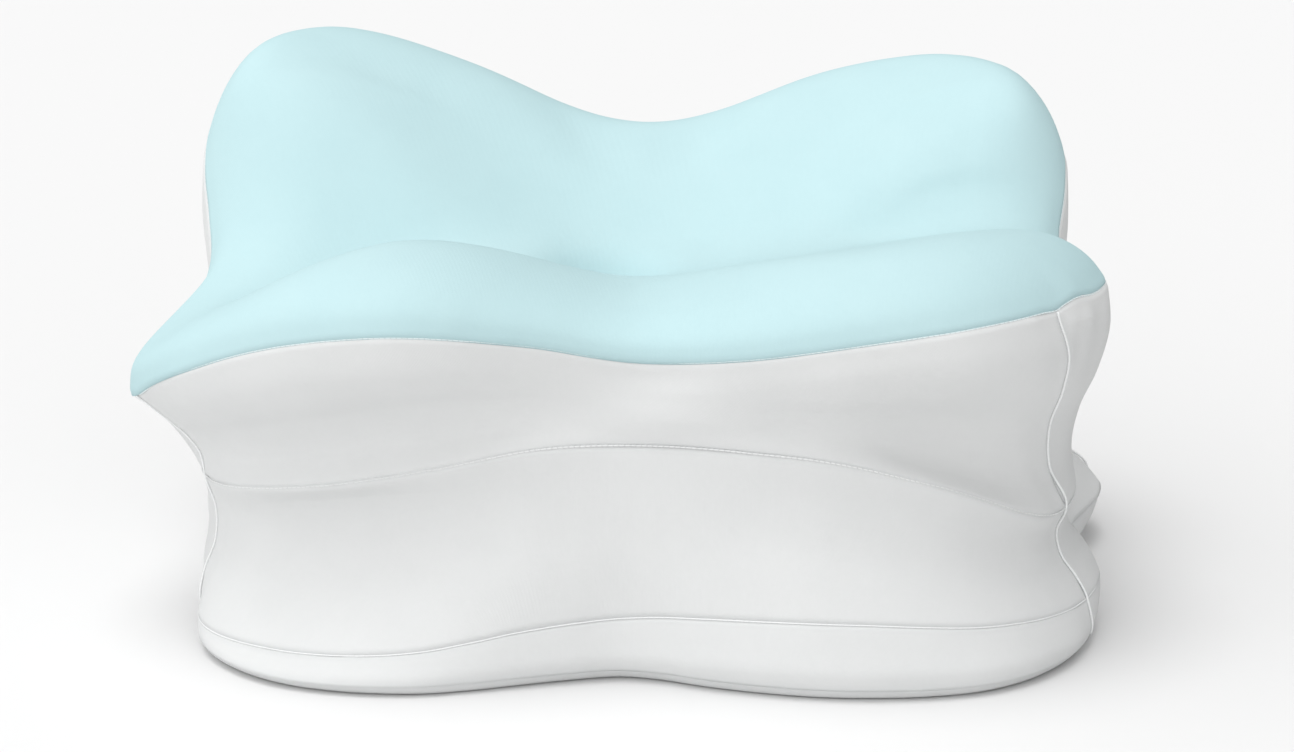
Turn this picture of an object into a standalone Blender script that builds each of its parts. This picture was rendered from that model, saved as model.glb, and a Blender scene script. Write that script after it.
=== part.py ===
"""A thick contour pillow: a filled form with four raised lobes and a cradle, in a sewn cover of panels.

Metres, +Z up. The pillow stands on z = 0, and the origin is under the middle of its box.
Bearings run round the pillow seen from above: 0 is the front, 90 the right side, 180 the back.
"""

import bmesh
import bpy
import numpy as np

MM = 0.001
CLOTH = 0.0012
EASE = 0.0004
SEAM_HALF = 0.0009
BASE_SEAM_HALF = 0.0010
TURN_WEIGHT = 0.05
CORNER_HALF = 0.18

# The outer surface, one row for each station round it, in millimetres and degrees. A reach is measured
# from the upright axis, a height from the floor. foot is where the flat underside ends, low the seam over
# the border, mid the seam round the waist, top the seam under the top panel, crest the ridge of the lobes.
# under and over say how far the side is drawn in below and above the waist seam, swell how far it stands
# out below the top seam.
STATIONS = """
bearing foot low_reach low_height mid_reach mid_height top_reach top_height crest_reach crest_height under over swell
0       122  131       30         129       108        131       146        64          164          0     0    0
20      147  153       34         142       107        150       150        80          170          0     2    0
36      179  182       34         163       101        176       158        110         180          1    10    1
50      206  206       29         187       86         200       163        145         188          2    18    4
64      213  217       24         204       65         212       163        168         190          4    10    5
78      205  216       22         204       63         215       160        170         182          4     5    4
95      192  203       23         188       72         194       152        140         171          5     4    3
112     217  236       24         208       74         213       190        188         218          8     5    3
128     214  226       28         198       84         216       196        188         226          5     6    3
146     172  182       29         165       92         178       188        150         216          2     4    2
162     138  150       29         140       98         148       178        122         199          0     2    2
180     122  136       29         124       100        134       170        106         194          0     1    2
198     138  150       29         140       98         148       178        122         201          0     2    2
214     174  184       28         165       92         180       194        150         220          2     4    2
232     216  226       26         196       80         224       206        190         238          5     6    3
247     216  226       22         200       70         223       193        193         229          6     6    3
264     188  198       17         184       72         200       142        142         168          5     4    2
284     188  200       12         201       70         232       106        174         147          3     2   -8
296     206  213       12         201       75         226       127        170         161          9     9   -2
310     204  202       14         182       84         206       150        135         187         13    13    0
326     177  176       18         158       96         180       161        106         184         12    14    0
342     140  146       26         138       106        146       155        82          172          3     7    0
"""

BASE_SEAM_OUT = 8
BASE_SEAM_HEIGHT = 5
CENTRE_HEIGHT = 153
CREST_LEAN = -0.2
DIMPLE_DEPTH = 0.014
DIMPLE_REACH = 0.022
DIMPLE_AT = (-0.013, -0.004)

# Where the drawn-in lines and the swell lie, as shares of the height of their own panel.
UNDER_SHARE = 0.68
OVER_SHARE = 0.22
SWELL_SHARE = 0.80

# The bearing of each upright corner seam where it meets the lower, the middle and the top seam.
CORNERS = {
    "front_left": (-71, -71, -72),
    "front_right": (69, 70, 61),
    "back_right": (115, 115, 115),
    "back_left": (244, 244, 244),
}
SIDES = {
    "front": ("front_left", "front_right", 24),
    "right": ("front_right", "back_right", 11),
    "back": ("back_right", "back_left", 23),
    "left": ("back_left", "front_left", 10),
}

# Which two control points each band of cloth lies between, where its rows of points fall, and which two
# of the corner bearings it runs between.
FOOT, BASE_SEAM, LOW_SEAM, UNDER, MID_SEAM, OVER, SWELL, TOP_SEAM, CREST, CENTRE = range(10)
BANDS = {
    "border": (BASE_SEAM, LOW_SEAM, (0.0, 0.25, 0.6, 1.0), (0, 0)),
    "lower": (LOW_SEAM, MID_SEAM, (0.0, 0.25, 0.5, 0.75, 1.0), (0, 1)),
    "upper": (MID_SEAM, TOP_SEAM, (0.0, 0.2, 0.4, 0.6, 0.8, 1.0), (1, 2)),
}
CALM_FROM = 0.30
CALM = 1.6
RING = 120
TOP_ROWS = (0.0, 0.06, 0.15, 0.26, 0.38, 0.50, 0.62, 0.73, 0.83, 0.92)
EDGE_ROWS = (0.0, 0.4, 0.75, 1.0)
FLOOR_RING = 0.96
DENSE = 20

COLOURS = {
    "top_cloth": ((0.560, 0.790, 0.815), 0.86),
    "side_cloth": ((0.770, 0.775, 0.770), 0.88),
    "filling": ((0.840, 0.810, 0.720), 0.95),
}


def clear_scene():
    for thing in list(bpy.data.objects):
        bpy.data.objects.remove(thing, do_unlink=True)


def make_material(name):
    colour, roughness = COLOURS[name]
    material = bpy.data.materials.new(name)
    material.use_nodes = True
    shader = material.node_tree.nodes["Principled BSDF"]
    shader.inputs["Base Color"].default_value = (*colour, 1.0)
    shader.inputs["Roughness"].default_value = roughness
    shader.inputs["Metallic"].default_value = 0.0
    return material


def read_table(text):
    """The columns of a table by name."""
    lines = [line.split() for line in text.strip().splitlines()]
    return dict(zip(lines[0], np.array(lines[1:], dtype=float).T))


def through(knots, values, wanted, ends=None):
    """A smooth curve through values at rising knots. ends may fix the slope at some of the knots."""
    step = np.diff(knots)
    rise = np.diff(values, axis=0)
    shape = (-1,) + (1,) * (values.ndim - 1)
    pace = rise / step.reshape(shape)
    slope = np.empty_like(values)
    before, after = step[:-1].reshape(shape), step[1:].reshape(shape)
    slope[1:-1] = (pace[:-1] * after + pace[1:] * before) / (before + after)
    slope[0], slope[-1] = pace[0], pace[-1]
    for index, value in (ends or {}).items():
        slope[index] = value
    span = np.clip(np.searchsorted(knots, wanted, side="right") - 1, 0, len(step) - 1)
    size = step[span].reshape(shape)
    t = ((wanted - knots[span]) / step[span]).reshape(shape)
    return (
        (2 * t**3 - 3 * t**2 + 1) * values[span]
        + (t**3 - 2 * t**2 + t) * size * slope[span]
        + (3 * t**2 - 2 * t**3) * values[span + 1]
        + (t**3 - t**2) * size * slope[span + 1]
    )


def controls_at(table, bearings):
    """The reach and height of every control point, for each bearing."""
    reach = np.zeros((len(table["bearing"]), 10))
    height = np.zeros_like(reach)
    low, mid, top = (table["low_height"], table["mid_height"], table["top_height"])
    reach[:, FOOT] = table["foot"]
    reach[:, BASE_SEAM] = table["foot"] + BASE_SEAM_OUT
    reach[:, LOW_SEAM] = table["low_reach"]
    reach[:, MID_SEAM] = table["mid_reach"]
    reach[:, TOP_SEAM] = table["top_reach"]
    reach[:, CREST] = table["crest_reach"]
    height[:, BASE_SEAM] = BASE_SEAM_HEIGHT
    height[:, LOW_SEAM] = low
    height[:, UNDER] = low + (mid - low) * UNDER_SHARE
    height[:, MID_SEAM] = mid
    height[:, OVER] = mid + (top - mid) * OVER_SHARE
    height[:, SWELL] = mid + (top - mid) * SWELL_SHARE
    height[:, TOP_SEAM] = top
    height[:, CREST] = table["crest_height"]
    height[:, CENTRE] = CENTRE_HEIGHT
    reach[:, UNDER] = table["mid_reach"] - table["under"]
    reach[:, OVER] = table["mid_reach"] + 0.2 * (table["top_reach"] - table["mid_reach"]) - table["over"]
    reach[:, SWELL] = table["top_reach"] + table["swell"] - 2
    turns = np.concatenate([table["bearing"] - 360, table["bearing"], table["bearing"] + 360])
    points = np.stack([reach, height], axis=2) * MM
    return through(turns, np.concatenate([points] * 3), np.asarray(bearings, dtype=float))


def section(points):
    """One upright section as a dense line, with its length up to each control point."""
    chord = np.linalg.norm(np.diff(points, axis=0), axis=1)
    knots = np.concatenate([[0.0], np.cumsum(chord)])
    flat = {FOOT: (1.0, 0.0), CREST: (-1.0, CREST_LEAN), CENTRE: (-1.0, 0.0)}
    wanted = np.concatenate([np.linspace(knots[i], knots[i + 1], DENSE, endpoint=False) for i in range(CENTRE)])
    line = through(knots, points, np.append(wanted, knots[-1]), flat)
    length = np.concatenate([[0.0], np.cumsum(np.linalg.norm(np.diff(line, axis=0), axis=1))])
    return line, length, length[::DENSE]


def row_of(bearings, start, end, share, trim_start=SEAM_HALF, trim_end=SEAM_HALF):
    """One row of points round the surface, between two control points."""
    row = np.zeros((len(bearings), 3))
    for column, points in enumerate(controls_at(read_table(STATIONS), bearings)):
        line, length, marks = section(points)
        first, last = marks[start] + trim_start, marks[end] - trim_end
        wanted = first + (last - first) * share
        reach = np.interp(wanted, length, line[:, 0])
        angle = np.radians(bearings[column])
        row[column] = (reach * np.sin(angle), -reach * np.cos(angle), np.interp(wanted, length, line[:, 1]))
    return row


def top_row(bearings, share):
    """One row of the top, its unevenness dying away towards the middle."""
    even = np.arange(RING) * 360 / RING
    row = row_of(even, TOP_SEAM, CENTRE, share, trim_end=0.0)
    waves = np.fft.rfft(np.stack([np.hypot(row[:, 0], row[:, 1]), row[:, 2]]))
    width = CALM * max(0.0, share - CALM_FROM) ** 2
    waves *= np.exp(-((np.arange(waves.shape[1]) * width) ** 2))
    smooth = np.fft.irfft(waves, RING)
    turns = np.concatenate([even - 360, even, even + 360])
    reach, height = (np.interp(bearings, turns, np.tile(line, 3)) for line in smooth)
    angle = np.radians(bearings)
    return np.stack([reach * np.sin(angle), -reach * np.cos(angle), height], axis=1)


def sink_dimple(grid):
    away = np.hypot(grid[..., 0] - DIMPLE_AT[0], grid[..., 1] - DIMPLE_AT[1])
    grid[..., 2] -= DIMPLE_DEPTH * np.exp(-((away / DIMPLE_REACH) ** 2))
    return grid


def side_ends(name, level):
    """The bearings between which the cloth of one side lies, at one of the seams or between two."""
    left, right, _ = SIDES[name]
    first, last = (np.interp(level, (0, 1, 2), CORNERS[corner]) for corner in (left, right))
    if first > last:
        last += 360
    return first + CORNER_HALF, last - CORNER_HALF


def side_spread(name):
    """Where the columns of points of one side fall, from 0 to 1: closer together where it turns."""
    fine = np.linspace(*side_ends(name, 2), 200)
    reach = controls_at(read_table(STATIONS), fine)[:, [LOW_SEAM, TOP_SEAM], 0].mean(axis=1)
    spot = np.stack([reach * np.sin(np.radians(fine)), reach * np.cos(np.radians(fine))], axis=1)
    pace = np.diff(spot, axis=0)
    heading = np.unwrap(np.arctan2(pace[:, 1], pace[:, 0]))
    weight = np.linalg.norm(pace, axis=1) + TURN_WEIGHT * np.abs(np.gradient(heading))
    length = np.concatenate([[0.0], np.cumsum(weight)])
    return np.interp(np.linspace(0, length[-1], SIDES[name][2]), length, np.linspace(0, 1, len(fine)))


def all_bearings(spreads, level, paired):
    """Columns all the way round; at each corner seam either the pair beside it or the one line on it."""
    rings = []
    for name, spread in spreads.items():
        first, last = side_ends(name, level)
        ring = first + (last - first) * spread
        rings.append(ring if paired else np.append(ring[1:-1], last + CORNER_HALF))
    return np.concatenate(rings)


def add_object(name, grid, material, closed, cap_first=False, cap_last=False):
    """A mesh over a grid of points, faces out; a cap closes the first or the last row."""
    mesh = bpy.data.meshes.new(name)
    work = bmesh.new()
    rows = [[work.verts.new(point) for point in row] for row in grid]
    count = len(rows[0])
    for low, high in zip(rows, rows[1:]):
        for j in range(count if closed else count - 1):
            k = (j + 1) % count
            work.faces.new((low[j], low[k], high[k], high[j]))
    if cap_first:
        work.faces.new(list(reversed(rows[0])))
    if cap_last:
        middle = work.verts.new(sum((v.co for v in rows[-1]), rows[-1][0].co * 0) / count)
        middle.co.z = float(sink_dimple(np.array([[*middle.co.xy, CENTRE_HEIGHT * MM]]))[0, 2])
        for j in range(count):
            work.faces.new((rows[-1][j], rows[-1][(j + 1) % count], middle))
    work.to_mesh(mesh)
    work.free()
    for face in mesh.polygons:
        face.use_smooth = True
    mesh.materials.append(material)
    thing = bpy.data.objects.new(name, mesh)
    return thing


def sheet_of(thing):
    """Gives a surface the thickness of the cloth, inwards."""
    shell = thing.modifiers.new("thickness", "SOLIDIFY")
    shell.thickness = CLOTH
    shell.offset = -1.0
    shell.use_rim = True
    return thing


def whole_surface(paired):
    """Every row of the outer surface, from inside the flat underside to beside the middle of the top."""
    spreads = {name: side_spread(name) for name in SIDES}
    low, high = (all_bearings(spreads, level, paired) for level in (0, 2))
    foot = [row_of(low, FOOT, BASE_SEAM, share, 0.0, BASE_SEAM_HALF) for share in EDGE_ROWS]
    base = np.stack([foot[0] * np.array([FLOOR_RING, FLOOR_RING, 1.0]), *foot])
    bands = {}
    for name, (start, end, shares, levels) in BANDS.items():
        turns = [all_bearings(spreads, np.interp(share, (0, 1), levels), paired) for share in shares]
        trim = BASE_SEAM_HALF if start == BASE_SEAM else SEAM_HALF
        bands[name] = np.stack([row_of(turn, start, end, share, trim) for turn, share in zip(turns, shares)])
    top = np.stack([top_row(high, share) for share in TOP_ROWS])
    return {"base": base, "bands": bands, "top": sink_dimple(top)}


def main():
    clear_scene()
    collection = bpy.data.collections.new("contour_pillow")
    bpy.context.scene.collection.children.link(collection)
    materials = {name: make_material(name) for name in COLOURS}
    paired = whole_surface(True)
    single = whole_surface(False)
    body_rows = np.concatenate([paired["base"], *paired["bands"].values(), paired["top"]])
    middle = (body_rows.reshape(-1, 3).min(axis=0) + body_rows.reshape(-1, 3).max(axis=0)) / 2

    body = add_object("pillow_body", body_rows, materials["filling"], True, True, True)
    inset = body.modifiers.new("under_the_cover", "DISPLACE")
    inset.mid_level = 0.0
    inset.strength = -(CLOTH + EASE)
    parts = [body]
    parts.append(sheet_of(add_object("top_panel", single["top"], materials["top_cloth"], True, False, True)))
    parts.append(sheet_of(add_object("base_panel", single["base"], materials["side_cloth"], True, True)))
    start = 0
    for side in SIDES:
        end = start + SIDES[side][2]
        for band, rows in paired["bands"].items():
            patch = add_object(f"{band}_{side}", rows[:, start:end], materials["side_cloth"], False)
            parts.append(sheet_of(patch))
        start = end
    for part in parts:
        for vertex in part.data.vertices:
            vertex.co.x -= middle[0]
            vertex.co.y -= middle[1]
        collection.objects.link(part)


main()
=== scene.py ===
import math

import bmesh
import bpy
import numpy as np
from mathutils import Matrix, Vector, noise
from mathutils.bvhtree import BVHTree


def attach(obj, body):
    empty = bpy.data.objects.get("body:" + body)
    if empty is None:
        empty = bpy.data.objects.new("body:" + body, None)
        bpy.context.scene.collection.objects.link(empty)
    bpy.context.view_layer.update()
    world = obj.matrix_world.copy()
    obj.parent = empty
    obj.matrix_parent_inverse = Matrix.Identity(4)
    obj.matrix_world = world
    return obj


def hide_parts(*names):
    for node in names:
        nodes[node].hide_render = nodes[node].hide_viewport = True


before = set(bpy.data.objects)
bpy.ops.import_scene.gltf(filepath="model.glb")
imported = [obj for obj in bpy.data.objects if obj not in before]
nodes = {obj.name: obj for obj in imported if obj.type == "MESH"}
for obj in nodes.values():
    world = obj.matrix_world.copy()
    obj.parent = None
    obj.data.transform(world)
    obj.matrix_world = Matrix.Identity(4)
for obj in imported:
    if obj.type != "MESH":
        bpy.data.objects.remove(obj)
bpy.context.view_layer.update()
print("frame loaded:", len(nodes), "nodes")

sides = ["front", "right", "back", "left"]
bands = ["border", "lower", "upper"]
samePoint = 0.00002  # points of a solid that are closer than this are one point


# reading the rows of points of a cloth panel from its solid

def mergedCopy(nodeName):
    work = bmesh.new()
    work.from_mesh(nodes[nodeName].data)
    bmesh.ops.remove_doubles(work, verts=work.verts, dist=samePoint)
    return work


fillingForm = mergedCopy("pillow_body")
fillingTree = BVHTree.FromBMesh(fillingForm)


def outerFaces(nodeName, clearOf=0.0011):
    work = mergedCopy(nodeName)
    inner = [f for f in work.faces if min(fillingTree.find_nearest(v.co)[3] for v in f.verts) < clearOf]
    bmesh.ops.delete(work, geom=inner, context="FACES")
    return work


def edgeLoop(work):
    rim = [e for e in work.edges if len(e.link_faces) == 1]
    start = rim[0].verts[0]
    loop, here, last = [start], start, None
    while True:
        nextEdge = [e for e in here.link_edges if len(e.link_faces) == 1 and e is not last][0]
        last, here = nextEdge, nextEdge.other_vert(here)
        if here is start:
            return loop
        loop.append(here)


def turning(loop, i):
    before, here, after = (loop[(i + k) % len(loop)].co for k in (-1, 0, 1))
    return (here - before).angle(after - here)


def firstRow(loop):
    corners = sorted(sorted(range(len(loop)), key=lambda i: turning(loop, i))[-4:])
    chains = []
    for a, b in zip(corners, corners[1:] + [corners[0] + len(loop)]):
        chains.append([loop[i % len(loop)] for i in range(a, b + 1)])
    return min(chains, key=lambda chain: sum(v.co.z for v in chain) / len(chain))


def inOrder(found, closed):
    ends = [v for v in found if sum(e.other_vert(v) in found for e in v.link_edges) == 1]
    here = min(found if closed else ends, key=lambda v: v.index)
    row, left = [here], set(found) - {here}
    while left:
        onward = [e.other_vert(here) for e in here.link_edges if e.other_vert(here) in left]
        here = min(onward, key=lambda v: (v.co - row[-1].co).length)
        row.append(here)
        left.remove(here)
    return row


def matched(row, previous, closed):  # the new row starts beside the old one and runs the same way
    def apart(order):
        return sum((a - b).length for a, b in zip(order, previous))
    points = [v.co.copy() for v in row]
    choices = [points, points[::-1]]
    if closed:
        nearest = min(range(len(points)), key=lambda i: (points[i] - previous[0]).length)
        starts = [(nearest + k) % len(points) for k in (-2, -1, 0, 1, 2)]
        turned = [points[k:] + points[:k] for k in starts]
        choices = turned + [order[:1] + order[1:][::-1] for order in turned]
    return min(choices, key=apart)


def panelRows(nodeName, closed, ringCount=0):
    work = outerFaces(nodeName)
    work.verts.ensure_lookup_table()
    work.verts.index_update()
    loop = edgeLoop(work)
    first = loop if closed else firstRow(loop)
    rows, seen, ring = [[v.co.copy() for v in first]], set(first), set(first)
    while not ringCount or len(rows) < ringCount:
        ring = {e.other_vert(v) for v in ring for e in v.link_edges} - seen
        if not ring:
            break
        if closed and len(ring) == 1:  # the middle point of a round panel
            rows.append([ring.pop().co.copy()] * len(first))
            break
        rows.append(matched(inOrder(ring, closed), rows[-1], closed))
        seen |= ring
    work.free()
    grid = np.array(rows)
    across = np.cross(grid[0, 1] - grid[0, 0], grid[1, 0] - grid[0, 0])
    near = fillingTree.find_nearest(Vector(grid[0, 0]))[1]
    return grid if across @ np.array(near) > 0 else grid[:, ::-1]


# smooth curves through rows of points

def spline(points, wanted, closed=False):  # the places wanted are counted in steps along the first axis
    count = len(points)
    low = np.floor(wanted).astype(int)
    if not closed:
        low = np.clip(low, 0, count - 2)
    t = (wanted - low).reshape((-1,) + (1,) * (points.ndim - 1))

    def at(index):
        if closed:
            return points[index % count]
        over = points[np.clip(index, 0, count - 1)]
        over = np.where((index < 0).reshape(t.shape), 2 * points[0] - points[1], over)
        return np.where((index > count - 1).reshape(t.shape), 2 * points[-1] - points[-2], over)

    a, b, c, d = (at(low + k) for k in (-1, 0, 1, 2))
    gap = [np.linalg.norm(q - p, axis=-1, keepdims=True) + 1e-9 for p, q in ((a, b), (b, c), (c, d))]
    slopeB = ((b - a) / gap[0] * gap[1] + (c - b) / gap[1] * gap[0]) / (gap[0] + gap[1]) * gap[1]
    slopeC = ((c - b) / gap[1] * gap[2] + (d - c) / gap[2] * gap[1]) / (gap[1] + gap[2]) * gap[1]
    return ((2 * t**3 - 3 * t**2 + 1) * b + (t**3 - 2 * t**2 + t) * slopeB
            + (3 * t**2 - 2 * t**3) * c + (t**3 - t**2) * slopeC)


def finer(grid, perRow, perColumn, closed, edgeSteps=()):
    rows, columns = grid.shape[:2]
    rowPlaces = np.linspace(0, rows - 1, (rows - 1) * perRow + 1)
    rowPlaces = np.unique(np.concatenate([rowPlaces, edgeSteps, rows - 1 - np.array(edgeSteps)]))
    spans = columns if closed else columns - 1
    columnPlaces = np.arange(spans * perColumn + (0 if closed else 1)) / perColumn
    if not closed:
        columnPlaces = np.unique(np.concatenate([columnPlaces, edgeSteps, columns - 1 - np.array(edgeSteps)]))
    across = np.swapaxes(spline(np.swapaxes(grid, 0, 1), columnPlaces, closed), 0, 1)
    return spline(across, rowPlaces), rowPlaces, columnPlaces


# meshes from rows of points

def runAcross(grid):  # how far each point lies along its row
    return np.cumsum(np.linalg.norm(np.diff(grid, axis=1, prepend=grid[:, :1]), axis=2), axis=1)


def runUp(grid):  # how far each point lies up its column
    return np.cumsum(np.linalg.norm(np.diff(grid, axis=0, prepend=grid[:1]), axis=2), axis=0)


def newMesh(name, grid, closedAcross, closedUp=False):
    rows, columns = grid.shape[:2]
    work = bmesh.new()
    verts = [[work.verts.new(point) for point in row] for row in grid]
    along = runAcross(np.concatenate([grid, grid[:, :1]], axis=1))[rows // 2]
    up = runUp(grid)
    up = np.concatenate([up, up[:, :1]], axis=1)
    uvLayer = work.loops.layers.uv.new("cloth")
    for i in range(rows if closedUp else rows - 1):
        for j in range(columns if closedAcross else columns - 1):
            places = ((i, j), (i, j + 1), (i + 1, j + 1), (i + 1, j))
            face = work.faces.new([verts[a % rows][b % columns] for a, b in places])
            face.smooth = True
            for corner, (a, b) in zip(face.loops, places):
                corner[uvLayer].uv = (along[b], up[min(a, rows - 1), b])
    bmesh.ops.remove_doubles(work, verts=work.verts, dist=0.000005)
    mesh = bpy.data.meshes.new(name)
    work.to_mesh(mesh)
    work.free()
    made = bpy.data.objects.new(name, mesh)
    bpy.context.scene.collection.objects.link(made)
    return made


def onlySelect(*things):
    bpy.ops.object.select_all(action="DESELECT")
    for thing in things:
        thing.select_set(True)
    bpy.context.view_layer.objects.active = things[0]


def normalsOf(grid, closed):
    if closed:
        along = np.roll(grid, -1, axis=1) - np.roll(grid, 1, axis=1)
    else:
        along = np.gradient(grid, axis=1)
    up = np.gradient(grid, axis=0)
    normal = np.cross(along, up)
    size = np.linalg.norm(normal, axis=2, keepdims=True)
    return normal / np.maximum(size, 1e-12)


# the cloth panels: rows of points that swell over the filling, with their seams drawn in

cover = {
    "thickness": 0.0010,
    "sunk": 0.0006,          # how far the cloth starts under the solid's surface
    "seamDepth": {"top": 0.0010, "middle": 0.0004, "lower": 0.0004, "base": 0.0004, "corner": 0.0004},
    "seamRoll": 0.0032,      # how far from a seam the cloth rolls down to it
    "seamReach": 0.00086,    # the cloth's edge runs this far past the solid's edge
    "swellCap": 0.0016,      # the most that the cloth may swell between its seams
    "pressure": 4.0,
    "simFrames": 20,
    "puckerSteps": (0.011, 0.016, 0.023, 0.037),
    "puckerGroup": 0.15,     # the gathers come and go about this far apart
    "puckerHeight": 0.00022,
    "puckerReach": 0.014,
    "puckerStart": 0.003,    # the cloth lies still this close to a seam
    "lumpStart": 0.014,      # swellings and pinches fade out from here to the seam
    "edgeSteps": (0.10, 0.22, 0.38, 0.58),
    "uneven": 0.00025,       # slow waves over the whole cloth
    "unevenScale": 22,
    "unevenStart": 0.02,
    "perStep": {"top": (6, 6), "upper": (7, 6), "lower": (7, 6), "border": (6, 6), "base": (3, 4)},
}

hollow = {  # the small pit in the middle of the top: as the solid has it, and as the cloth shows it
    "at": (-0.0099, -0.0043), "solidDepth": 0.014, "solidReach": 0.022,
    "pitAt": (-0.0105, -0.0040), "depth": 0.024, "reach": 0.019, "power": 2.2,
}

panels = {}
panels["top_panel"] = (panelRows("top_panel", True), True)
for band in bands:
    for side in sides:
        panels[f"{band}_{side}"] = (panelRows(f"{band}_{side}", False), False)
baseRows = panelRows("base_panel", True, 4)
flatRings = [baseRows[-1] * np.array([share, share, 1.0]) for share in (0.7, 0.4, 0.15, 0.0)]
panels["base_panel"] = (np.concatenate([baseRows, flatRings]), True)
print("panel rows read:", {name: grid.shape[:2] for name, (grid, closed) in panels.items()})


seamsRound = {  # the seam below each kind of panel, above it and at its two ends
    "top": ("top", "top"),
    "upper": ("middle", "top", "corner", "corner"),
    "lower": ("lower", "middle", "corner", "corner"),
    "border": ("base", "lower", "corner", "corner"),
    "base": ("base", "base"),
}


def kindOf(name):
    return name.split("_")[0]


def rimOf(made):
    used = {}
    for face in made.data.polygons:
        for key in face.edge_keys:
            used[key] = used.get(key, 0) + 1
    return sorted({v for key, count in used.items() if count == 1 for v in key})


def simulateSwell():
    trial = {}
    for name, (grid, closed) in panels.items():
        if name == "base_panel":
            continue
        start = finer(grid, 2, 2, closed)[0]
        if name == "top_panel":
            start = start[:-4]
        sheet = newMesh("trial_" + name, start, closed)
        pinned = sheet.vertex_groups.new(name="seam")
        pinned.add(rimOf(sheet), 1.0, "REPLACE")
        onlySelect(sheet)
        bpy.ops.object.modifier_add(type="CLOTH")
        cloth = sheet.modifiers[-1]
        cloth.settings.vertex_group_mass = "seam"
        cloth.settings.quality = 5
        cloth.settings.mass = 0.3
        cloth.settings.bending_stiffness = 0.5
        cloth.settings.use_pressure = True
        cloth.settings.uniform_pressure_force = cover["pressure"]
        cloth.settings.effector_weights.gravity = 0
        cloth.collision_settings.use_collision = False
        cloth.point_cache.frame_end = cover["simFrames"]
        trial[name] = (sheet, start)
    for step in range(1, cover["simFrames"] + 1):
        bpy.context.scene.frame_set(step)
    view = bpy.context.evaluated_depsgraph_get()
    swell = {}
    for name, (sheet, start) in trial.items():
        puffed = sheet.evaluated_get(view)
        moved = np.array([v.co for v in puffed.to_mesh().vertices]).reshape(start.shape) - start
        puffed.to_mesh_clear()
        out = np.einsum("ijk,ijk->ij", moved, normalsOf(start, panels[name][1]))
        capped = cover["swellCap"] * np.tanh(np.maximum(out, 0) / cover["swellCap"])
        swell[name] = calmed(capped, panels[name][1])
        print(f"{name} swells {out.max() * 1000:.1f} mm, {swell[name].max() * 1000:.1f} mm kept")
    for sheet, start in trial.values():
        bpy.data.objects.remove(sheet, do_unlink=True)
    bpy.context.scene.frame_set(1)
    return swell


def calmed(field, closed, turns=8):  # only its edge stays as it was
    for turn in range(turns):
        padded = np.pad(field, ((0, 0), (1, 1)), mode="wrap" if closed else "edge")
        even = (padded[:, :-2] + padded[:, 2:]) / 4 + field / 2
        even[1:-1] = even[1:-1] / 2 + (even[:-2] + even[2:]) / 4
        even[0], even[-1] = field[0], field[-1]
        if not closed:
            even[:, 0], even[:, -1] = field[:, 0], field[:, -1]
        field = even
    return field


def swellAt(name, rowPlaces, columnPlaces, closed):
    coarse = swell[name]
    if name == "top_panel":  # the middle of the top was left out of the simulation
        coarse = np.concatenate([coarse, np.repeat(coarse[-1:].mean(axis=1, keepdims=True), 4, axis=0)
                                 * np.ones((1, coarse.shape[1]))])
    across = spline(coarse.T[..., None], columnPlaces * 2, closed)[..., 0].T
    return spline(across[..., None], rowPlaces * 2)[..., 0]


def seamGaps(grid, closed, seamOnTop=True):  # each point's distance to the seams round its panel
    up = runUp(grid)
    gaps = [up, up[-1:] - up if seamOnTop else up + 1.0]
    if not closed:
        across = runAcross(grid)
        gaps += [across, across[:, -1:] - across]
    return gaps


def roll(gap, reach):
    share = np.clip(1 - gap / reach, 0, 1)
    return 1 - np.sqrt(1 - share**2)


def puckers(length, closed, seed):  # an uneven row of small gathers along a seam
    rng = np.random.default_rng(seed)
    total = length[-1] + (length[-1] - length[-2] if closed else 0)
    wave = np.zeros_like(length)
    turn = 2 * math.pi * length / total
    longest = cover["puckerSteps"][-1]
    for step in cover["puckerSteps"]:
        count = max(1, round(total / (step * rng.uniform(0.9, 1.1))))
        wave += np.sin(count * turn + rng.uniform(0, 2 * math.pi)) * (step / longest) ** 0.5
    groups = max(1, round(total / cover["puckerGroup"]))
    strength = 0.6 + 0.4 * np.sin(groups * turn + rng.uniform(0, 6))
    return wave / 2.4 * strength


def pitDepth(grid, shown):  # as the cloth shows it, or as the solid has it
    place = hollow["pitAt" if shown else "at"]
    away = np.hypot(grid[..., 0] - place[0], grid[..., 1] - place[1])
    if shown:
        return hollow["depth"] * np.exp(-(away / hollow["reach"]) ** hollow["power"])
    return hollow["solidDepth"] * np.exp(-(away / hollow["solidReach"]) ** 2)


def evenTop(grid, turns=10, rimRows=14):  # takes the small facets out of the top, away from its rim
    for turn in range(turns):
        around = (np.roll(grid, 1, axis=1) + np.roll(grid, -1, axis=1)) / 2
        even = grid / 2 + around / 4
        even[1:-1] += (grid[2:] + grid[:-2]) / 8
        keep = np.clip(np.arange(len(grid)) / rimRows, 0, 1)[:, None, None]
        even[0], even[-1] = grid[0], grid[-1]
        grid = grid * (1 - keep) + even * keep
    return grid


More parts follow.
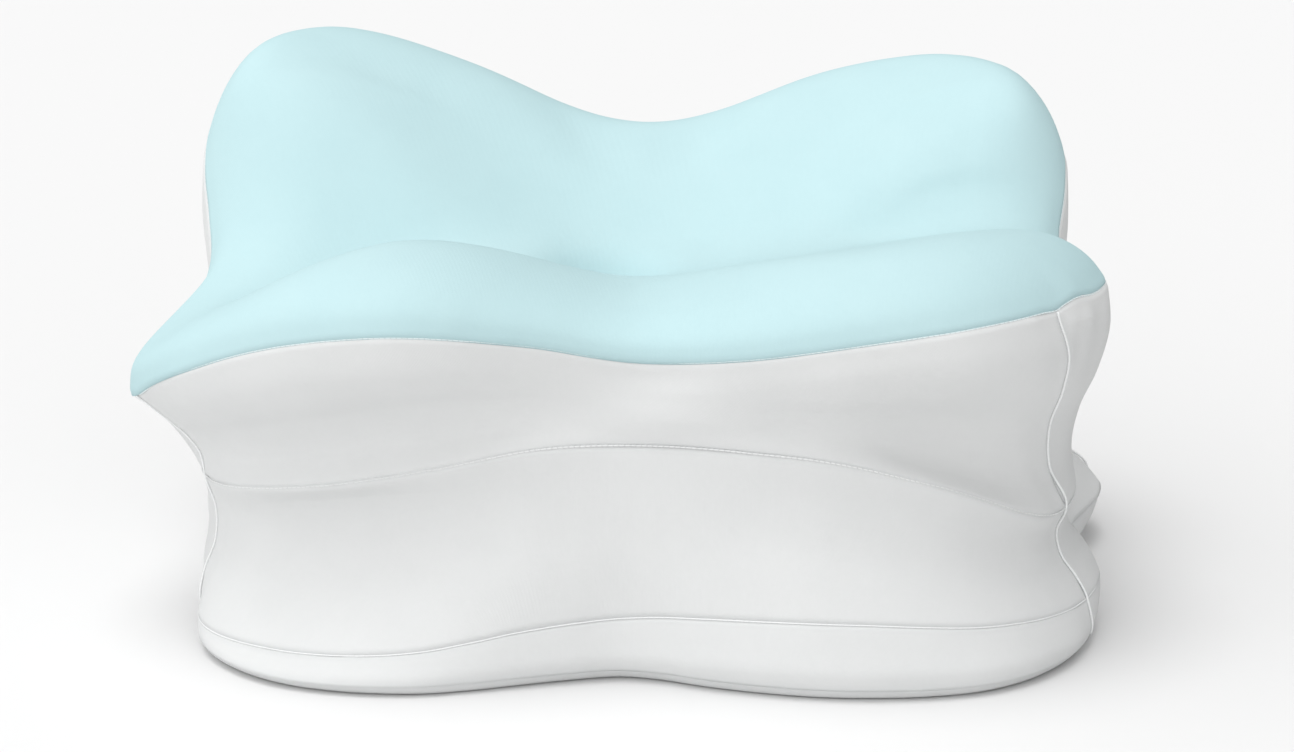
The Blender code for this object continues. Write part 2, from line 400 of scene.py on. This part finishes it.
def dressed(name, grid, closed, seed):
    kind = kindOf(name)
    isRound = kind in ("top", "base")
    if kind == "top":
        grid = grid.copy()
        grid[..., 2] += pitDepth(grid, False)
    fine, rowPlaces, columnPlaces = finer(grid, *cover["perStep"][kind], closed, cover["edgeSteps"])
    if kind == "top":
        fine = evenTop(fine)
        fine[..., 2] -= pitDepth(fine, True)
    fine = tugged(fine)
    normal = normalsOf(fine, closed)
    gaps = seamGaps(fine, closed, not isRound)
    depths = [cover["seamDepth"][seam] for seam in seamsRound[kind]]
    pull = np.max([roll(gap, cover["seamRoll"]) * depth for gap, depth in zip(gaps, depths)], axis=0)
    lift = -cover["sunk"] - pull
    if name in swell:
        lift = lift + swellAt(name, rowPlaces, columnPlaces, closed)
    length = runAcross(fine)
    for k, (row, gap) in enumerate(((0, gaps[0]), (-1, gaps[1]))):
        if kind != "base" and (k == 0 or not isRound):
            wave = puckers(length[row], closed, seed + k)
            start = np.clip(gap / cover["puckerStart"], 0, 1)
            lift = lift + wave * np.exp(-gap / cover["puckerReach"]) * cover["puckerHeight"] * start
    spots = fine.reshape(-1, 3) * cover["unevenScale"]
    waves = [noise.noise(Vector(spot) + Vector((seed, 0, 0))) for spot in spots]
    start = np.clip(np.min(gaps, axis=0) / cover["unevenStart"], 0, 1)
    lift = lift + np.array(waves).reshape(lift.shape) * cover["uneven"] * start
    lift = lift + foldsOn(name, fine) + lumpsOn(name, fine) * clearOfSeam(gaps)
    if kind == "base":  # it stays flat on the floor
        lift = lift * np.clip(fine[..., 2] / 0.003, 0, 1)
    shaped = fine + normal * lift[..., None]
    shaped[0] += towards(fine[1], fine[0]) * cover["seamReach"]
    if not isRound:
        shaped[-1] += towards(fine[-2], fine[-1]) * cover["seamReach"]
        shaped[:, 0] += towards(fine[:, 1], fine[:, 0]) * cover["seamReach"]
        shaped[:, -1] += towards(fine[:, -2], fine[:, -1]) * cover["seamReach"]
    else:
        shaped[-1] = shaped[-1].mean(axis=0)
    shaped[..., 2] = np.maximum(shaped[..., 2], 0)
    return shaped, np.min(gaps, axis=0)


folds = [  # soft creases: the panel, its line, which side of the line gives way, how deep and how wide
    {"panel": "top_panel", "side": 1, "depth": 0.0016, "width": 0.013, "line": (
        (-0.194, 0.078, 0.210), (-0.174, 0.075, 0.225), (-0.136, 0.077, 0.223), (-0.102, 0.078, 0.211),
        (-0.080, 0.073, 0.199))},
    {"panel": "top_panel", "side": -1, "depth": 0.0018, "width": 0.015, "line": (
        (0.086, 0.056, 0.182), (0.108, 0.071, 0.199), (0.119, 0.078, 0.207), (0.141, 0.083, 0.215),
        (0.162, 0.082, 0.220), (0.185, 0.073, 0.218))},
    {"panel": "top_panel", "side": -1, "depth": 0.0018, "width": 0.012, "line": (
        (0.108, 0.018, 0.168), (0.125, 0.028, 0.181), (0.134, 0.031, 0.186), (0.154, 0.035, 0.191),
        (0.171, 0.038, 0.190), (0.194, 0.045, 0.180))},
]
lumps = [  # small swellings and pinches: the panel, place, reach and height
    {"panel": "upper_right", "at": (0.1935, -0.0965, 0.1560), "reach": 0.0075, "height": 0.0028},
    {"panel": "upper_right", "at": (0.2010, -0.0820, 0.1555), "reach": 0.0080, "height": 0.0026},
    {"panel": "upper_right", "at": (0.2085, -0.0600, 0.1545), "reach": 0.0085, "height": 0.0020},
    {"panel": "upper_right", "at": (0.1950, -0.0930, 0.1400), "reach": 0.0090, "height": -0.0022},
    {"panel": "upper_right", "at": (0.2060, -0.0700, 0.1350), "reach": 0.0140, "height": -0.0018},
    {"panel": "upper_front", "at": (0.0950, -0.1330, 0.1260), "reach": 0.0240, "height": 0.0032},
    {"panel": "upper_front", "at": (0.0300, -0.1400, 0.1300), "reach": 0.0300, "height": 0.0020},
    {"panel": "lower_front", "at": (-0.1560, -0.1180, 0.0680), "reach": 0.0200, "height": -0.0040},
    {"panel": "lower_front", "at": (-0.1270, -0.1240, 0.0700), "reach": 0.0200, "height": -0.0045},
    {"panel": "lower_front", "at": (-0.1000, -0.1290, 0.0720), "reach": 0.0180, "height": -0.0030},
]
tugs = [  # where the sewing pulls the cloth along: place, reach and shift
    {"at": (0.1985, -0.0880, 0.1640), "reach": 0.0110, "shift": (0.0, 0.0, 0.0022)},
    {"at": (0.1885, -0.1035, 0.1640), "reach": 0.0050, "shift": (0.0010, 0.0010, -0.0010)},
]


def tugged(points):
    moved = np.array(points)
    for tug in tugs:
        away = np.linalg.norm(moved - np.array(tug["at"]), axis=-1, keepdims=True)
        moved = moved + np.exp(-(away / tug["reach"]) ** 2) * np.array(tug["shift"])
    return moved


crease = {"across": (0.0, 0.4, 0.9), "sharpness": 3, "fade": 1.3}


def foldsOn(name, grid):
    lift = np.zeros(grid.shape[:2])
    for fold in folds:
        if fold["panel"] != name:
            continue
        line = np.array(fold["line"])
        steps = np.diff(line, axis=0)
        away = grid[:, :, None] - line[None, None, :-1]
        share = np.clip(np.einsum("ijkc,kc->ijk", away, steps) / np.einsum("kc,kc->k", steps, steps), 0, 1)
        offset = away - share[..., None] * steps
        distance = np.linalg.norm(offset, axis=3)
        near = distance.argmin(axis=2)[..., None]
        gap = np.take_along_axis(distance, near, 2)[..., 0]
        offset = np.take_along_axis(offset, near[..., None], 2)[:, :, 0]
        along = (near[..., 0] + np.take_along_axis(share, near, 2)[..., 0]) / len(steps)
        side = offset @ np.array(crease["across"]) / np.maximum(gap, 1e-6) * fold["side"]
        above = np.clip(side * crease["sharpness"], 0, 1)
        depth = fold["depth"] * np.sin(math.pi * np.clip(along, 0, 1)) ** crease["fade"]
        lift -= depth * above * gap / fold["width"] * np.exp(1 - gap / fold["width"])
    return lift


def clearOfSeam(gaps):
    share = np.clip(np.min(gaps, axis=0) / cover["lumpStart"], 0, 1)
    return share * share * (3 - 2 * share)


def lumpsOn(name, points):
    lift = np.zeros(points.shape[:-1])
    for lump in lumps:
        if lump["panel"] == name:
            gap = np.linalg.norm(points - np.array(lump["at"]), axis=-1)
            lift = lift + lump["height"] * np.exp(-(gap / lump["reach"]) ** 2)
    return lift


def towards(start, end):
    step = end - start
    return step / np.maximum(np.linalg.norm(step, axis=-1, keepdims=True), 1e-9)


def keepSeamGapForShade(made, shaped, gap):  # keeps each point's distance to its seam, for the painted shade along the seams in the material
    known = {tuple(np.round(point, 5)): g for point, g in zip(shaped.reshape(-1, 3), gap.reshape(-1))}
    farFromSeam = 0.05
    found = [known.get(tuple(np.round(np.array(v.co), 5)), farFromSeam) for v in made.data.vertices]
    made.data.attributes.new("seamGap", "FLOAT", "POINT").data.foreach_set("value", found)


swell = simulateSwell()
print("cloth simulated")

pieces = {}
for number, (name, (grid, closed)) in enumerate(panels.items()):
    shaped, gap = dressed(name, grid, closed, 10 * number)
    piece = newMesh(name + "_cloth", shaped, closed)
    keepSeamGapForShade(piece, shaped, gap)
    onlySelect(piece)
    bpy.ops.object.modifier_add(type="SOLIDIFY")
    wall = piece.modifiers[-1]
    wall.thickness = cover["thickness"]
    wall.offset = -1
    bpy.ops.object.modifier_apply(modifier=wall.name)
    pieces[name] = piece
print("panels made:", sum(len(p.data.polygons) for p in pieces.values()), "faces")


# the filling under the cloth: a foam core that keeps clear of the cover

core = {
    "voxel": 0.006,
    "clear": 0.0032,    # how far it stays under the solid's surface
    "smoothing": 4,
    "pitShare": 1.25,   # its pit is deeper than the cloth's, so that it stays under it
}

foamCore = bpy.data.objects.new("foam_core", nodes["pillow_body"].data.copy())
bpy.context.scene.collection.objects.link(foamCore)
onlySelect(foamCore)
bpy.ops.object.mode_set(mode="EDIT")
bpy.ops.mesh.select_all(action="SELECT")
bpy.ops.mesh.remove_doubles(threshold=samePoint)
bpy.ops.object.mode_set(mode="OBJECT")
bpy.ops.object.modifier_add(type="REMESH")
foamCore.modifiers[-1].mode = "VOXEL"
foamCore.modifiers[-1].voxel_size = core["voxel"]
bpy.ops.object.modifier_apply(modifier=foamCore.modifiers[-1].name)
bpy.ops.object.modifier_add(type="DISPLACE")
foamCore.modifiers[-1].strength = -core["clear"]
foamCore.modifiers[-1].mid_level = 0
bpy.ops.object.modifier_apply(modifier=foamCore.modifiers[-1].name)
bpy.ops.object.modifier_add(type="SMOOTH")
foamCore.modifiers[-1].iterations = core["smoothing"]
bpy.ops.object.modifier_apply(modifier=foamCore.modifiers[-1].name)
for point in foamCore.data.vertices:  # the foam follows the pit and the pinched places in the cloth
    place = np.array(point.co)
    if point.co.z > 0.1 and point.normal.z > 0:
        deeper = pitDepth(place, True) * core["pitShare"] - pitDepth(place, False)
        point.co.z -= max(0.0, float(deeper))
    point.co += point.normal * min(0.0, float(lumpsOn("lower_front", place)))
bpy.ops.object.shade_smooth()
print("foam core:", len(foamCore.data.polygons), "faces")


# the stitched ridges along the seams

seams = {
    "radius": {"top": 0.00035, "middle": 0.00040, "lower": 0.00032, "base": 0.00030, "corner": 0.00055},
    "sunk": {"top": 0.0015, "middle": 0.0009, "lower": 0.0010, "base": 0.0010, "corner": 0.0007},
    "step": 0.0016,
    "around": 8,
}


def evenly(path, step, closed):
    points = np.concatenate([path, path[:1]]) if closed else path
    steps = np.linalg.norm(np.diff(points, axis=0), axis=1)
    total = steps.sum()
    count = max(4, round(total / step))
    wanted = np.linspace(0, total, count, endpoint=not closed)
    places = np.interp(wanted, np.concatenate([[0], np.cumsum(steps)]), np.arange(len(points)))
    return spline(path[:, None], places, closed)[:, 0]


def seamRidge(name, path, kind, closed):
    path = tugged(evenly(path, seams["step"], closed))
    out = np.array([fillingTree.find_nearest(Vector(p))[1] for p in path])
    for turn in range(6):  # evens out the directions
        if closed:
            out = out + np.roll(out, 1, axis=0) + np.roll(out, -1, axis=0)
        else:
            out[1:-1] = out[1:-1] + out[2:] + out[:-2]
        out = out / np.linalg.norm(out, axis=1, keepdims=True)
    centre = path - out * seams["sunk"][kind]
    if closed:
        ahead = np.roll(centre, -1, axis=0) - np.roll(centre, 1, axis=0)
    else:
        ahead = np.gradient(centre, axis=0)
    sideways = np.cross(out, ahead)
    sideways /= np.linalg.norm(sideways, axis=1, keepdims=True)
    angles = np.arange(seams["around"]) / seams["around"] * 2 * math.pi
    ring = out[:, None] * np.sin(angles)[None, :, None] + sideways[:, None] * np.cos(angles)[None, :, None]
    grid = centre[:, None] + ring * seams["radius"][kind]
    if not closed:
        ends = [np.repeat(centre[k][None, None], seams["around"], axis=1) for k in (0, -1)]
        grid = np.concatenate([ends[0], grid, ends[1]])
    ridge = newMesh(name, grid, True, closed)
    onlySelect(ridge)
    bpy.ops.object.mode_set(mode="EDIT")
    bpy.ops.mesh.select_all(action="SELECT")
    bpy.ops.mesh.normals_make_consistent(inside=False)
    bpy.ops.object.mode_set(mode="OBJECT")
    return ridge


def rowRound(band, row):
    return np.concatenate([panels[f"{band}_{side}"][0][row] for side in sides])


def between(first, second):
    return (first + second) / 2


def nearestOn(loop, point):
    ends = np.roll(loop, -1, axis=0)
    step = ends - loop
    share = np.clip(np.einsum("ij,ij->i", point - loop, step) / np.einsum("ij,ij->i", step, step), 0, 1)
    on = loop + step * share[:, None]
    return on[np.argmin(np.linalg.norm(on - point, axis=1))]


topRim = panels["top_panel"][0][0]
baseRim = panels["base_panel"][0][0]
whiteRim = rowRound("upper", -1)
lowRim = rowRound("border", 0)
paths = {
    "top": np.array([between(p, nearestOn(topRim, p)) for p in whiteRim]),
    "middle": between(rowRound("upper", 0), rowRound("lower", -1)),
    "lower": between(rowRound("lower", 0), rowRound("border", -1)),
    "base": np.array([between(p, nearestOn(baseRim, p)) for p in lowRim]),
}
ridges = {}
for place, path in paths.items():
    ridges[place] = seamRidge(f"seam_{place}", path, place, True)
for here, after in zip(sides, sides[1:] + sides[:1]):
    path = []
    for band in bands:
        ends = between(panels[f"{band}_{here}"][0][:, -1], panels[f"{band}_{after}"][0][:, 0])
        path += list(ends)
    ridges[here + after] = seamRidge(f"seam_{here}_{after}", np.array(path), "corner", False)
print("seam ridges made:", len(ridges))


# materials

topFinish = {"colour": (0.480, 0.655, 0.680), "shade": (0.468, 0.643, 0.669), "roughness": 0.90}
sideFinish = {"colour": (0.700, 0.708, 0.707), "shade": (0.682, 0.691, 0.690), "roughness": 0.90}
foamFinish = {"colour": (0.84, 0.81, 0.72), "shade": (0.74, 0.69, 0.56), "roughness": 0.95}
knit = {"wale": 0.0011, "course": 0.0009, "bump": 0.00006, "fuzz": 0.00003, "gloss": 0.04}
stitchLength = 0.0024


def newMaterial(name):
    made = bpy.data.materials.new(name)
    made.use_nodes = True
    tree = made.node_tree
    return made, tree, tree.nodes["Principled BSDF"]


def addNode(tree, kind, settings=None, **inputs):
    node = tree.nodes.new(kind)
    for key, value in (settings or {}).items():
        setattr(node, key, value)
    for key, value in inputs.items():
        socket = node.inputs[int(key[2:])] if key.startswith("in") else node.inputs[key.replace("_", " ")]
        if isinstance(value, bpy.types.NodeSocket):
            tree.links.new(value, socket)
        else:
            socket.default_value = value
    return node


def maths(tree, operation, *values):
    node = tree.nodes.new("ShaderNodeMath")
    node.operation = operation
    for k, value in enumerate(values):
        if isinstance(value, bpy.types.NodeSocket):
            tree.links.new(value, node.inputs[k])
        else:
            node.inputs[k].default_value = value
    return node.outputs[0]


def knitCloth(name, finish, coordinates):
    made, tree, shader = newMaterial(name)
    place = addNode(tree, "ShaderNodeTexCoord").outputs[coordinates]
    solidPlace = addNode(tree, "ShaderNodeTexCoord").outputs["Object"]
    parts = addNode(tree, "ShaderNodeSeparateXYZ", in0=place)
    across, along = parts.outputs[0], parts.outputs[1]
    # each wale is a column of small slanting loops
    course = maths(tree, "FRACT", maths(tree, "DIVIDE", along, knit["course"]))
    slant = maths(tree, "MULTIPLY", maths(tree, "ABSOLUTE", maths(tree, "SUBTRACT", course, 0.5)), 1.6)
    wale = maths(tree, "MULTIPLY", maths(tree, "DIVIDE", across, knit["wale"]), 2 * math.pi)
    loops = maths(tree, "ABSOLUTE", maths(tree, "SINE", maths(tree, "ADD", wale, slant)))
    fuzz = addNode(tree, "ShaderNodeTexNoise", Vector=solidPlace, Scale=2600.0, Detail=2.0, Roughness=0.6)
    patches = addNode(tree, "ShaderNodeTexNoise", Vector=solidPlace, Scale=26.0, Detail=4.0, Roughness=0.6)
    specks = addNode(tree, "ShaderNodeTexNoise", Vector=solidPlace, Scale=420.0, Detail=3.0, Roughness=0.7)
    mixture = maths(tree, "ADD", maths(tree, "MULTIPLY", patches.outputs["Fac"], 0.7),
                    maths(tree, "MULTIPLY", specks.outputs["Fac"], 0.3))
    ramp = addNode(tree, "ShaderNodeValToRGB", Fac=mixture)
    ramp.color_ramp.elements[0].position = 0.36
    ramp.color_ramp.elements[1].position = 0.60
    ramp.color_ramp.elements[0].color = (*finish["shade"], 1)
    ramp.color_ramp.elements[1].color = (*finish["colour"], 1)
    # painted shade: the cloth is multiplied darker within 3 mm of each seam, standing in for shadow in the
    # seam grooves
    gap = addNode(tree, "ShaderNodeAttribute", {"attribute_name": "seamGap"}).outputs["Fac"]
    nearSeam = addNode(tree, "ShaderNodeMapRange", Value=gap, in1=0.0, in2=0.003, in3=1.0, in4=0.0).outputs[0]
    paintedSeamShade = addNode(tree, "ShaderNodeMix", {"data_type": "RGBA", "blend_type": "MULTIPLY"})
    tree.links.new(maths(tree, "MULTIPLY", nearSeam, 0.25), paintedSeamShade.inputs["Factor"])
    tree.links.new(ramp.outputs["Color"], paintedSeamShade.inputs[6])
    paintedSeamShade.inputs[7].default_value = (0.86, 0.87, 0.88, 1)
    tree.links.new(paintedSeamShade.outputs[2], shader.inputs["Base Color"])
    weave = addNode(tree, "ShaderNodeBump", Height=loops, Strength=0.7, Distance=knit["bump"])
    soft = addNode(tree, "ShaderNodeBump", Height=fuzz.outputs["Fac"], Strength=0.8, Distance=knit["fuzz"],
                   Normal=weave.outputs["Normal"])
    tree.links.new(soft.outputs["Normal"], shader.inputs["Normal"])
    shader.inputs["Roughness"].default_value = finish["roughness"]
    shader.inputs["Specular IOR Level"].default_value = knit["gloss"]
    return made


def stitchedThread(name, colour, contrast=0.20):
    made, tree, shader = newMaterial(name)
    uv = addNode(tree, "ShaderNodeTexCoord").outputs["UV"]
    along = addNode(tree, "ShaderNodeSeparateXYZ", in0=uv).outputs[1]
    wave = maths(tree, "SINE", maths(tree, "MULTIPLY", along, math.pi / stitchLength))
    stitch = maths(tree, "ABSOLUTE", wave)
    tint = addNode(tree, "ShaderNodeValToRGB", Fac=stitch)
    tint.color_ramp.elements[0].color = (*[c * (1 - contrast) for c in colour], 1)
    tint.color_ramp.elements[1].color = (*colour, 1)
    tint.color_ramp.elements[1].position = 0.45
    tree.links.new(tint.outputs["Color"], shader.inputs["Base Color"])
    bump = addNode(tree, "ShaderNodeBump", Height=stitch, Strength=0.8, Distance=0.0015 * contrast)
    tree.links.new(bump.outputs["Normal"], shader.inputs["Normal"])
    shader.inputs["Roughness"].default_value = 0.75
    shader.inputs["Specular IOR Level"].default_value = 0.3
    return made


def foam(name, finish):
    made, tree, shader = newMaterial(name)
    place = addNode(tree, "ShaderNodeTexCoord").outputs["Object"]
    cells = addNode(tree, "ShaderNodeTexVoronoi", Vector=place, Scale=700.0)
    cloud = addNode(tree, "ShaderNodeTexNoise", Vector=place, Scale=20.0, Detail=3.0)
    ramp = addNode(tree, "ShaderNodeValToRGB", Fac=cloud.outputs["Fac"])
    ramp.color_ramp.elements[0].color = (*finish["shade"], 1)
    ramp.color_ramp.elements[1].color = (*finish["colour"], 1)
    tree.links.new(ramp.outputs["Color"], shader.inputs["Base Color"])
    bump = addNode(tree, "ShaderNodeBump", Height=cells.outputs["Distance"], Strength=0.6, Distance=0.0004)
    tree.links.new(bump.outputs["Normal"], shader.inputs["Normal"])
    shader.inputs["Roughness"].default_value = finish["roughness"]
    shader.inputs["Specular IOR Level"].default_value = 0.2
    return made


topCloth = knitCloth("aqua_knit", topFinish, "Object")
sideCloth = knitCloth("white_knit", sideFinish, "UV")
whiteThread = stitchedThread("white_thread", (0.78, 0.79, 0.79))
paleThread = stitchedThread("pale_aqua_thread", (0.74, 0.82, 0.83))
edging = stitchedThread("white_edging", (0.84, 0.85, 0.85), 0.05)
foamCells = foam("foam_cells", foamFinish)
print("materials made")


# each piece shows in place of its solid: the solid is hidden and the piece hung under the root


for name, piece in pieces.items():
    grid, closed = panels[name]
    piece.data.materials.append(topCloth if name == "top_panel" else sideCloth)
    if closed:
        size = grid.reshape(-1, 3).max(axis=0) - grid.reshape(-1, 3).min(axis=0)
        flat = (size[1] * 1.10, size[0] * 1.10)
    else:
        flat = (seamGaps(grid, False)[0][-1].max(), seamGaps(grid, False)[2][:, -1].max())
    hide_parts(name)
    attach(piece, "root")
    flat = tuple(float(length) for length in flat)

foamCore.data.materials.clear()
foamCore.data.materials.append(foamCells)
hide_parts("pillow_body")
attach(foamCore, "root")

for place, ridge in ridges.items():
    ridge.data.materials.append({"top": paleThread, "middle": whiteThread}.get(place, edging))
    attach(ridge, "root")


# floor, light and camera

studio = {
    "floorColour": (0.76, 0.76, 0.76),
    "even": 0.50,
    "least": 0.12,
    "brighterTowards": (-0.50, -0.62, 0.54),  # the room is lightest above, in front and on the left
    "overhead": 1.25,
    "overheadAngle": 40,
    "overheadFrom": (-0.12, -0.04, 1.0),
}

bpy.ops.object.select_all(action="DESELECT")
bpy.ops.mesh.primitive_plane_add(size=30)
floor = bpy.context.object
floor.name = "studio_floor"
paper, _, paperShader = newMaterial("pale_paper")
paperShader.inputs["Base Color"].default_value = (*studio["floorColour"], 1)
paperShader.inputs["Roughness"].default_value = 0.9
floor.data.materials.append(paper)

world = bpy.data.worlds.new("soft_room")
world.use_nodes = True
room = world.node_tree
glow = room.nodes["Background"]
glow.inputs["Color"].default_value = (1, 1, 1, 1)
facing = addNode(room, "ShaderNodeTexCoord").outputs["Generated"]
lean = addNode(room, "ShaderNodeVectorMath", {"operation": "DOT_PRODUCT"},
               in0=facing, in1=studio["brighterTowards"])
strength = maths(room, "MAXIMUM", maths(room, "ADD", lean.outputs["Value"], studio["even"]), studio["least"])
room.links.new(strength, glow.inputs["Strength"])
bpy.context.scene.world = world


def softSun(name, towardsLight, angle, power):
    data = bpy.data.lights.new(name, "SUN")
    data.angle = math.radians(angle)
    data.energy = power
    light = bpy.data.objects.new(name, data)
    bpy.context.scene.collection.objects.link(light)
    light.rotation_euler = Vector(towardsLight).to_track_quat("Z", "Y").to_euler()


softSun("overhead_light", studio["overheadFrom"], studio["overheadAngle"], studio["overhead"])

shot = {"azimuth": 2.0, "elevation": 17.0, "distance": 2.0, "target": (0.0, 0.0, 0.10), "focal": 4370.0,
        "shift": 17.0, "imageWidth": 1294.0}

azimuth, elevation = math.radians(shot["azimuth"]), math.radians(shot["elevation"])
level = math.cos(elevation)
back = Vector((math.sin(azimuth) * level, -math.cos(azimuth) * level, math.sin(elevation)))
right = Vector((math.cos(azimuth), math.sin(azimuth), 0.0))
up = back.cross(right)
eye = Vector(shot["target"]) + back * shot["distance"]
cameraData = bpy.data.cameras.new("photo_camera")
cameraData.sensor_width = 36.0
cameraData.sensor_fit = "HORIZONTAL"
cameraData.lens = shot["focal"] / shot["imageWidth"] * 36.0
cameraData.shift_x = shot["shift"] / shot["imageWidth"]
cameraData.clip_end = 60.0
camera = bpy.data.objects.new("photo_camera", cameraData)
bpy.context.scene.collection.objects.link(camera)
camera.matrix_world = Matrix.Translation(eye) @ Matrix((right, up, back)).transposed().to_4x4()
bpy.context.scene.camera = camera
bpy.context.scene.view_settings.view_transform = "Standard"
print("studio set")
